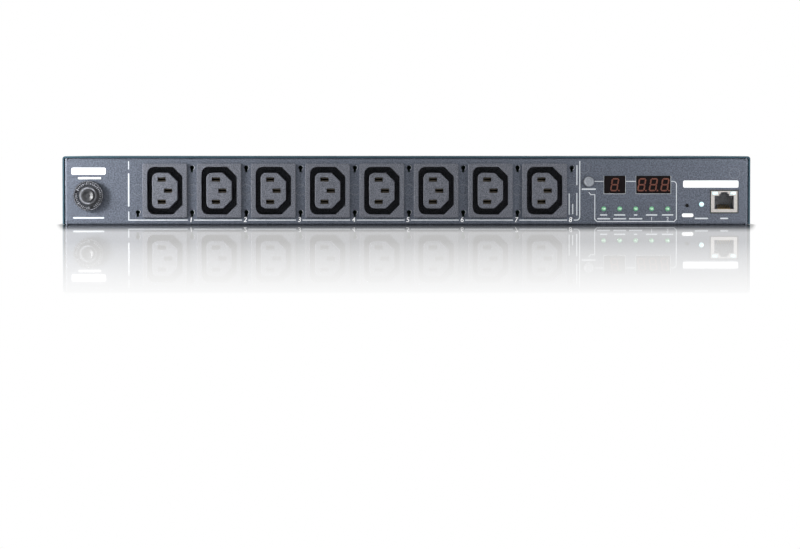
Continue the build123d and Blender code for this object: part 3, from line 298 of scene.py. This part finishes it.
def noise(tree, scale, stretch):
    """A noise texture in the part's own space."""
    place = tree.nodes.new("ShaderNodeTexCoord")
    mapping = tree.nodes.new("ShaderNodeMapping")
    mapping.inputs["Scale"].default_value = stretch
    texture = tree.nodes.new("ShaderNodeTexNoise")
    texture.inputs["Scale"].default_value = scale
    texture.inputs["Detail"].default_value = GRAIN_DETAIL
    tree.links.new(place.outputs["Object"], mapping.inputs["Vector"])
    tree.links.new(mapping.outputs["Vector"], texture.inputs["Vector"])
    return texture


def ramp(tree, source, low, high):
    """A two-colour ramp over a noise."""
    node = tree.nodes.new("ShaderNodeValToRGB")
    node.color_ramp.elements[0].position = MOTTLE_START
    node.color_ramp.elements[0].color = low
    node.color_ramp.elements[1].position = MOTTLE_END
    node.color_ramp.elements[1].color = high
    tree.links.new(source, node.inputs["Fac"])
    return node


def surface(name, color, rough, grain, scale=1400.0, bump=0.0, stretch=(1, 1, 1), **more):
    """A material whose colour is mottled and whose face has a fine grain."""
    material, tree, bsdf = shader(name, color, rough, **more)
    texture = noise(tree, scale, stretch)
    low = (*[c * (1 - grain) for c in color], 1)
    high = (*[min(1, c * (1 + grain)) for c in color], 1)
    mottle = ramp(tree, texture.outputs["Fac"], low, high)
    tree.links.new(mottle.outputs["Color"], bsdf.inputs["Base Color"])
    if bump:
        node = tree.nodes.new("ShaderNodeBump")
        node.inputs["Strength"].default_value = bump
        node.inputs["Distance"].default_value = GRAIN_DEPTH * MM
        tree.links.new(texture.outputs["Fac"], node.inputs["Height"])
        tree.links.new(node.outputs["Normal"], bsdf.inputs["Normal"])
    return material


finish = {name: surface(name, color, rough, **more) for name, color, rough, more in FINISHES}
for part in frame["record"]["subparts"]:
    node = nodes[part["node"]]
    node.data.materials.clear()
    node.data.materials.append(finish[OWN_FINISH.get(part["node"], part["material_slot"])])


def placed(name, mesh, material):
    """Links a mesh as a piece that rides on the case."""
    made = bpy.data.objects.new(name, mesh)
    bpy.context.scene.collection.objects.link(made)
    mesh.materials.clear()
    mesh.materials.append(finish[material])
    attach(made, "case")
    return made


def piece(name, points, faces, material):
    """A piece from points and faces in the part's frame."""
    mesh = bpy.data.meshes.new(name)
    mesh.from_pydata(points, [], faces)
    mesh.update()
    return placed(name, mesh, material)


def close(faces, start, count, turned=False):
    """Adds the two ends and the sides between two equal rings of points, the near ring first."""
    made = [
        [start + i for i in range(count)],
        [start + 2 * count - 1 - i for i in range(count)],
    ]
    for i in range(count):
        j = (i + 1) % count
        made.append([start + j, start + i, start + count + i, start + count + j])
    faces += [face[::-1] for face in made] if turned else made


def prism(points, faces, outline, near, far):
    """Adds a closed prism over an outline in (x, z), in millimetres, from near to far in y."""
    start = len(points)
    area = sum(
        a[0] * b[1] - b[0] * a[1] for a, b in zip(outline, outline[1:] + outline[:1])
    )
    if area < 0:
        outline = outline[::-1]
    for y in (near, far):
        points += [(x * MM, y, z * MM) for x, z in outline]
    close(faces, start, len(outline))


def rounded(x, z, width, height, radius, steps=6):
    """A rounded rectangle's outline in millimetres."""
    result = []
    for sx, sz, turn in ((1, -1, -90), (1, 1, 0), (-1, 1, 90), (-1, -1, 180)):
        cx, cz = x + sx * (width / 2 - radius), z + sz * (height / 2 - radius)
        result += corner(cx, cz, radius, turn, turn + 90, steps)
    return result


def stroke(line, width):
    """The outline of a polyline of a given width, with mitred corners."""
    left, right = [], []
    for i, (x, z) in enumerate(line):
        before = Vector(line[i]) - Vector(line[i - 1]) if i else None
        after = Vector(line[i + 1]) - Vector(line[i]) if i + 1 < len(line) else None
        first = (before or after).normalized()
        last = (after or before).normalized()
        side = (Vector((-first.y, first.x)) + Vector((-last.y, last.x))).normalized()
        reach = width / 2 / max(0.3, side.dot(Vector((-first.y, first.x))))
        left.append((x + side.x * reach, z + side.y * reach))
        right.append((x - side.x * reach, z - side.y * reach))
    return left + right[::-1]


def corner(x, z, radius, start, end, steps=6):
    """Points along an arc, in millimetres and degrees."""
    angles = [radians(start + (end - start) * i / steps) for i in range(steps + 1)]
    return [(x + radius * cos(angle), z + radius * sin(angle)) for angle in angles]


def arc_band(x, z, ring, arc, steps=18):
    """The outline of a band along an arc, from its ring's radius and width and its two angles."""
    (radius, width), (start, end) = ring, arc
    outer = corner(x, z, radius + width / 2, start, end, steps)
    return outer + corner(x, z, radius - width / 2, end, start, steps)


def printed(name, outlines, material, lift=INK):
    """Flat print on the front panel; it also lays the painted highlights and painted shade that lie
    flat on it.
    """
    points, faces = [], []
    for outline in outlines:
        prism(points, faces, outline, FRONT - lift * MM, FRONT - PRINT_BACK * MM)
    return piece(name, points, faces, material)


# Printed frames
outlet_x = [centre(f"outlet_{i}")[0] for i in range(1, OUTLETS + 1)]
pitch = outlet_x[1] - outlet_x[0]
column_x = [outlet_x[0] + (i - 0.5) * pitch for i in range(OUTLETS + 1)]
number_x = [x + pitch / 2 + NUMBER_SHIFT for x in outlet_x]
zone = [
    [(ZONE_LEFT, ZONE_TOP), (ZONE_LEFT, ZONE_GAP_TOP)],
    [(ZONE_LEFT, ZONE_GAP_LOW), (ZONE_LEFT, ZONE_LOW), (number_x[0] - NUMBER_ROOM, ZONE_LOW)],
]
for a, b in zip(number_x, number_x[1:]):
    zone.append([(a + NUMBER_ROOM, ZONE_LOW), (b - NUMBER_ROOM, ZONE_LOW)])
zone.append(
    [(number_x[-1] + NUMBER_ROOM, ZONE_LOW)]
    + corner(ZONE_RIGHT - FRAME_CORNER, ZONE_LOW + FRAME_CORNER, FRAME_CORNER, -90, 0)
    + [(ZONE_RIGHT, ZONE_TOP)]
)
strokes = [stroke(line, ZONE_LINE) for line in zone]
printed("outlet_zone_line", strokes, "print_ink_and_highlight")

button_x = centre("select_button")[0]
small_left, small_right = edges("display_small")[:2]
large_left, large_right = edges("display_large")[:2]
control = [
    [(button_x + BUTTON_ROOM, CONTROL_TOP), (small_left - WINDOW_ROOM, CONTROL_TOP)],
    [(small_right + WINDOW_ROOM, CONTROL_TOP), (large_left - WINDOW_ROOM, CONTROL_TOP)],
    [(large_right + WINDOW_ROOM, CONTROL_TOP)]
    + corner(CONTROL_RIGHT - FRAME_CORNER, CONTROL_TOP - FRAME_CORNER, FRAME_CORNER, 90, 0)
    + CONTROL_FOOT,
]
strokes = [stroke(line, CONTROL_LINE) for line in control]
printed("control_zone_line", strokes, "print_ink_and_highlight")

# Plain bars and fields
lamps_left, lamps_right = edges("status_lamps")[:2]
lamp_z = centre("status_lamps")[1]
lamp_pitch = (lamps_right - lamps_left - 2 * LAMP_FLANGE) / (LAMPS - 1)
lamp_x = [lamps_left + LAMP_FLANGE + i * lamp_pitch for i in range(LAMPS)]
power_x, power_z = centre("power_lamp")
jack_x, jack_z = centre("lan_shield")
breaker_x, breaker_z = centre("breaker_nut")
marks = [(button_x, *BUTTON_BAR)]
for z, height, widths in LAMP_BARS:
    marks += [(x, z, width, height) for x, width in zip(lamp_x, widths)]
marks += [(power_x, *POWER_BAR), (jack_x, *JACK_BAR), (breaker_x, *BREAKER_BAR)]
bars = [rounded(x, z, w, h, h * BAR_ROUND, SMALL_STEPS) for x, z, w, h in marks]
bars += [rounded(*bar, SMALL_STEPS) for bar in UPRIGHT_BARS]
printed("plain_marks", bars, "print_ink_and_highlight")
for name, fields in (
    ("end_field", END_FIELD),
    ("name_field", NAME_FIELD),
    ("reset_field", RESET_FIELD),
):
    outlines = [rounded(*field) for field in fields]
    printed(name, outlines, "white_ink", FIELD_INK)


def number(text, name, x, z, height, slant, material):
    """A plain number printed on the front panel."""
    data = bpy.data.curves.new(name + "_text", "FONT")
    data.body = text
    data.size = height / DIGIT_SHARE * MM
    data.shear = slant
    data.align_x = "CENTER"
    data.align_y = "CENTER"
    data.extrude = DIGIT_THICK * MM
    data.offset = DIGIT_BOLD * MM
    data.resolution_u = 6
    holder = bpy.data.objects.new(name + "_holder", data)
    bpy.context.scene.collection.objects.link(holder)
    bpy.context.view_layer.update()
    shape = holder.evaluated_get(bpy.context.evaluated_depsgraph_get())
    mesh = bpy.data.meshes.new_from_object(shape)
    bpy.data.objects.remove(holder)
    mesh.name = name
    depth = FRONT - (PRINT_BACK + DIGIT_THICK) * MM
    for vertex in mesh.vertices:
        u, v, w = vertex.co
        vertex.co = (u + x * MM, depth - w, v + z * MM)
    placed(name, mesh, material)


for i, x in enumerate(number_x, 1):
    number(str(i), f"outlet_number_{i}", x, z=3.0, height=3.0, slant=0.12, material="white_ink")
for i, x in enumerate(lamp_x[3:], 1):
    number(str(i), f"sensor_number_{i}", x, z=3.6, height=2.2, slant=0.0, material="print_ink_and_highlight")

# Painted highlights along the cut edges of the display windows, at their sides and foot
rims = []
for node in ("display_small", "display_large"):
    left, right, low, top = edges(node)
    left, right = left - WINDOW_GAP, right + WINDOW_GAP
    low, top = low - WINDOW_GAP, top + WINDOW_GAP
    rims.append(stroke([(left, top), (left, low), (right, low), (right, top)], WINDOW_LINE))
printed("window_edge_highlights", rims, "print_ink_and_highlight", WINDOW_HIGHLIGHT_LIFT)

# Raised marks round the face of the breaker's ring nut, in a light grey that is a painted highlight
# on them
points, faces = [], []
nut_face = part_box("breaker_nut")[0].y
for first, count in MARK_RUNS:
    for i in range(count):
        angle = radians(first + i * MARK_STEP)
        x, z = breaker_x + MARK_RADIUS * cos(angle), breaker_z + MARK_RADIUS * sin(angle)
        long = MARK_LONG + MARK_LONG_MORE * (i % 3)
        wide = MARK_WIDE + MARK_WIDE_MORE * (i % 2)
        mark = [
            (x + u * cos(angle) - v * sin(angle), z + u * sin(angle) + v * cos(angle))
            for u, v in ((-long, -wide), (long, -wide), (long, wide), (-long, wide))
        ]
        prism(points, faces, mark, nut_face + MARK_NEAR * MM, nut_face + MARK_FAR * MM)
piece("ring_nut_marks", points, faces, "light_grey_and_highlight")

# Rims of the breaker's bushing and of its nut: the bushing's grey metal with a painted highlight on
# it, and a thin light ring at the nut's edge
points, faces = [], []
for rim, y in ((BUSHING_RIM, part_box("breaker_body")[0].y), (NUT_RIM, nut_face)):
    for arc in QUARTERS:
        band = arc_band(breaker_x, breaker_z, rim, arc)
        prism(points, faces, band, y - RIM_LIFT * MM, y + SUNK * MM)
piece("breaker_rims_highlight", points, faces, "light_grey_and_highlight")

# Faint rings where the studs are welded behind the front wall
bands = [arc_band(x, STUD_ROW, STUD_RING, arc) for x in column_x for arc in STUD_ARCS]
bands += [arc_band(x, z, STUD_RING, arc) for x, z in LONE_STUDS for arc in QUARTERS]
printed("stud_rings", bands, "faint_mark", FAINT_LIFT)

# Painted highlights round the keyholes, on the side away from the key light. The last column has no
# lower keyhole and the first has no upper one.
holes = [(x, KEYHOLE_LOW) for x in column_x[:-1]] + [(x, KEYHOLE_TOP) for x in column_x[1:]]
bands = [arc_band(x, z, KEYHOLE_RIM, KEYHOLE_ARC, KEYHOLE_STEPS) for x, z in holes]
printed("keyhole_highlights", bands, "print_ink_and_highlight", FAINT_LIFT)


def dome(points, faces, x, z, base, rings=6, around=28):
    """Adds a lamp's shallow dome on a round base at y = base, bulging to the front."""
    start = len(points)
    for k in range(rings):
        angle = pi / 2 * k / rings
        reach, y = DOME_RADIUS * cos(angle), base - DOME_HEIGHT * sin(angle) * MM
        for i in range(around):
            turn = 2 * pi * i / around
            points.append(((x + reach * cos(turn)) * MM, y, (z + reach * sin(turn)) * MM))
    points.append((x * MM, base - DOME_HEIGHT * MM, z * MM))
    for k in range(rings - 1):
        for i in range(around):
            j = (i + 1) % around
            a, b = start + k * around, start + (k + 1) * around
            faces.append([a + i, a + j, b + j, b + i])
    a, top = start + (rings - 1) * around, len(points) - 1
    faces += [[a + i, a + (i + 1) % around, top] for i in range(around)]
    faces.append([start + i for i in range(around)][::-1])


def smooth(made):
    """Smooth shading."""
    for face in made.data.polygons:
        face.use_smooth = True


# Lamp domes, with the two dies seen through the green ones
points, faces = [], []
lamp_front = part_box("status_lamps")[0].y
for x in lamp_x:
    dome(points, faces, x, lamp_z, lamp_front + DOME_SINK * MM)
smooth(piece("lamp_domes", points, faces, "green_lamp"))
points, faces = [], []
for x in lamp_x:
    for side in (-1, 1):
        out, inner = x + side * DIE_OUT, x + side * DIE_IN
        leaf = [(out, lamp_z), (inner, lamp_z + DIE_HALF), (inner, lamp_z - DIE_HALF)]
        prism(points, faces, leaf, lamp_front - DIE_LIFT * MM, lamp_front + SUNK * MM)
piece("lamp_dies", points, faces, "lamp_die")
points, faces = [], []
dome(points, faces, power_x, power_z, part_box("power_lamp")[0].y + DOME_SINK * MM)
smooth(piece("power_lamp_dome", points, faces, "clear_lamp"))


def cross(points, faces, place, u, v, out, size=RECESS_SIZE, width=RECESS_WIDTH):
    """Adds a flat cross at a place, its arms along u and v and its face along out."""
    half, slim = size / 2 * MM, width / 2 * MM
    ring = [
        (half, -slim), (half, slim), (slim, slim), (slim, half), (-slim, half), (-slim, slim),
        (-half, slim), (-half, -slim), (-slim, -slim), (-slim, -half), (slim, -half), (slim, -slim),
    ]
    start = len(points)
    for lift in (RECESS_LIFT * MM, -SUNK * MM):
        points += [tuple(Vector(place) + u * a + v * b + out * lift) for a, b in ring]
    close(faces, start, len(ring), turned=u.cross(v).dot(out) < 0)


# Driver recesses of the screws, as painted shade: flat dark crosses on their heads where the
# recesses would be
points, faces = [], []
low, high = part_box("cover_screws")
for side, x in ((-1, low.x), (1, high.x)):
    for y in (-SIDE_SCREW_Y, SIDE_SCREW_Y):
        cross(points, faces, (x, y * MM, SIDE_SCREW_Z * MM), Y, Z, side * X)
for x in (-REAR_SCREW_X, REAR_SCREW_X):
    cross(points, faces, (x * MM, high.y, REAR_SCREW_Z * MM), X, Z, Y)
inlet, rear = middle("inlet_screws"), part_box("inlet_screws")[1].y
for x in (-INLET_SCREW_X, INLET_SCREW_X):
    cross(points, faces, (inlet.x + x * MM, rear, inlet.z), X, Z, Y)
earth, rear = middle("ground_screw"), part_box("ground_screw")[1].y
cross(points, faces, (earth.x, rear, earth.z), X, Z, Y, *EARTH_RECESS)
piece("driver_recess_shade", points, faces, "recess_shade")

# Painted shade in the gap round the network jack's cutout
left, right, low, top = edges("lan_shield")
left, right = left - CUTOUT_GAP, right + CUTOUT_GAP
low, top = low - CUTOUT_GAP, top + CUTOUT_GAP
edge = [(left, low), (right, low), (right, top), (left, top)]
sides = [stroke([a, b], CUTOUT_LINE) for a, b in zip(edge, edge[1:] + edge[:1])]
printed("jack_cutout_shade", sides, "recess_shade", FAINT_LIFT)

# Spring tabs at the sides of the network jack's mouth
points, faces = [], []
shield_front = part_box("lan_shield")[0].y
for x in (jack_x - SPRING_X, jack_x + SPRING_X):
    tab = (x, jack_z - SPRING_DROP, SPRING_WIDTH, SPRING_HEIGHT, SPRING_ROUND, SMALL_STEPS)
    near, far = shield_front - SPRING_LIFT * MM, shield_front + SUNK * MM
    prism(points, faces, rounded(*tab), near, far)
piece("jack_springs", points, faces, "jack_metal")


def maths(tree, operation, first, second=None):
    """A maths node over links or plain numbers."""
    node = tree.nodes.new("ShaderNodeMath")
    node.operation = operation
    for i, value in enumerate((first, second)):
        if value is None:
            continue
        if isinstance(value, (int, float)):
            node.inputs[i].default_value = value
        else:
            tree.links.new(value, node.inputs[i])
    return node.outputs[0]


def seen_rays(tree):
    """One where a ray comes from the camera, a gloss or a glass, and nought elsewhere."""
    path = tree.nodes.new("ShaderNodeLightPath")
    first = maths(tree, "MAXIMUM", path.outputs["Is Camera Ray"], path.outputs["Is Glossy Ray"])
    return maths(tree, "MAXIMUM", first, path.outputs["Is Transmission Ray"])


def blended(tree, share, first, second):
    """A mix of two shaders."""
    node = tree.nodes.new("ShaderNodeMixShader")
    tree.links.new(share, node.inputs["Fac"])
    tree.links.new(first, node.inputs[1])
    tree.links.new(second, node.inputs[2])
    return node.outputs[0]


# Floor: white where it is seen, with a mirror that fades towards the camera and a soft shade
# round the part. It lights the part as a plain grey.
floor_mesh = bpy.data.meshes.new("floor")
floor_mesh.from_pydata(FLOOR_CORNERS, [], [[0, 1, 2, 3]])
floor = bpy.data.objects.new("floor", floor_mesh)
bpy.context.scene.collection.objects.link(floor)
material = bpy.data.materials.new("floor")
material.use_nodes = True
tree = material.node_tree
tree.nodes.clear()
result = tree.nodes.new("ShaderNodeOutputMaterial")
place = tree.nodes.new("ShaderNodeTexCoord")
axes = tree.nodes.new("ShaderNodeSeparateXYZ")
tree.links.new(place.outputs["Object"], axes.inputs[0])
across, along = axes.outputs["X"], axes.outputs["Y"]
ahead = maths(tree, "MAXIMUM", maths(tree, "SUBTRACT", FRONT, along), 0.0)
behind = maths(tree, "MAXIMUM", maths(tree, "SUBTRACT", along, cad_high.y), 0.0)
half_width = maths(tree, "SUBTRACT", cad_high.x, maths(tree, "MULTIPLY", ahead, SHADE_TAPER))
aside = maths(tree, "SUBTRACT", maths(tree, "ABSOLUTE", across), half_width)
past_side = maths(tree, "MULTIPLY", maths(tree, "MAXIMUM", aside, 0.0), SHADE_EDGE)
past_end = maths(tree, "ADD", ahead, maths(tree, "MULTIPLY", behind, SHADE_REAR))
squares = [maths(tree, "POWER", past, 2.0) for past in (past_side, past_end)]
distance = maths(tree, "SQRT", maths(tree, "ADD", *squares))
shade = tree.nodes.new("ShaderNodeValToRGB")
tree.links.new(maths(tree, "DIVIDE", distance, SHADE_REACH), shade.inputs["Fac"])
stops = shade.color_ramp.elements
stops[0].position, stops[0].color = 0.0, (0, 0, 0, 1)
stops[1].position, stops[1].color = 1.0, (1, 1, 1, 1)
for position, grey in SHADE_STOPS:
    stops.new(position).color = (grey, grey, grey, 1)
glow = tree.nodes.new("ShaderNodeEmission")
tree.links.new(shade.outputs["Color"], glow.inputs["Color"])
diffuse = tree.nodes.new("ShaderNodeBsdfDiffuse")
diffuse.inputs["Color"].default_value = (FLOOR_GREY, FLOOR_GREY, FLOOR_GREY, 1)
base = blended(tree, seen_rays(tree), diffuse.outputs[0], glow.outputs[0])
mirror = tree.nodes.new("ShaderNodeBsdfGlossy")
mirror.inputs["Color"].default_value = (1, 1, 1, 1)
mirror.inputs["Roughness"].default_value = MIRROR_ROUGH
fade = tree.nodes.new("ShaderNodeMapRange")
fade.inputs["From Min"].default_value = FRONT - MIRROR_FAR
fade.inputs["From Max"].default_value = FRONT - MIRROR_NEAR
fade.inputs["To Min"].default_value = 0.0
fade.inputs["To Max"].default_value = MIRROR_MOST
tree.links.new(along, fade.inputs["Value"])
mixed = blended(tree, fade.outputs["Result"], base, mirror.outputs[0])
tree.links.new(mixed, result.inputs["Surface"])
floor_mesh.materials.append(material)

# World: weaker as a light than as it is seen
world = bpy.data.worlds.new("world")
bpy.context.scene.world = world
world.use_nodes = True
tree = world.node_tree
back = tree.nodes["Background"]
back.inputs["Color"].default_value = (1, 1, 1, 1)
strength = tree.nodes.new("ShaderNodeMapRange")
strength.inputs["To Min"].default_value = WORLD_LIGHT
strength.inputs["To Max"].default_value = WORLD_SEEN
tree.links.new(seen_rays(tree), strength.inputs["Value"])
tree.links.new(strength.outputs["Result"], back.inputs["Strength"])


def aimed(thing, place, target):
    """Puts a light or camera at a place and turns it to a point."""
    thing.location = place
    thing.rotation_euler = (Vector(target) - Vector(place)).to_track_quat("-Z", "Y").to_euler()


# Square area lamps
for name, place, target, size, power in LIGHTS:
    data = bpy.data.lights.new(name, "AREA")
    data.size = size
    data.energy = power
    light = bpy.data.objects.new(name, data)
    bpy.context.scene.collection.objects.link(light)
    aimed(light, place, target)

# Camera, just above the height of the top edge and two metres from the front
camera_data = bpy.data.cameras.new("camera")
camera = bpy.data.objects.new("camera", camera_data)
bpy.context.scene.collection.objects.link(camera)
camera_data.sensor_width = SENSOR
camera_data.lens = SENSOR * PIXELS_PER_MM * DISTANCE / MM / PICTURE_WIDTH
aimed(
    camera,
    (CAMERA_X * MM, FRONT - DISTANCE, CAMERA_Z * MM),
    (CAMERA_X * MM, FRONT, AIM_Z * MM),
)
bpy.context.scene.camera = camera
bpy.context.scene.view_settings.view_transform = "Standard"
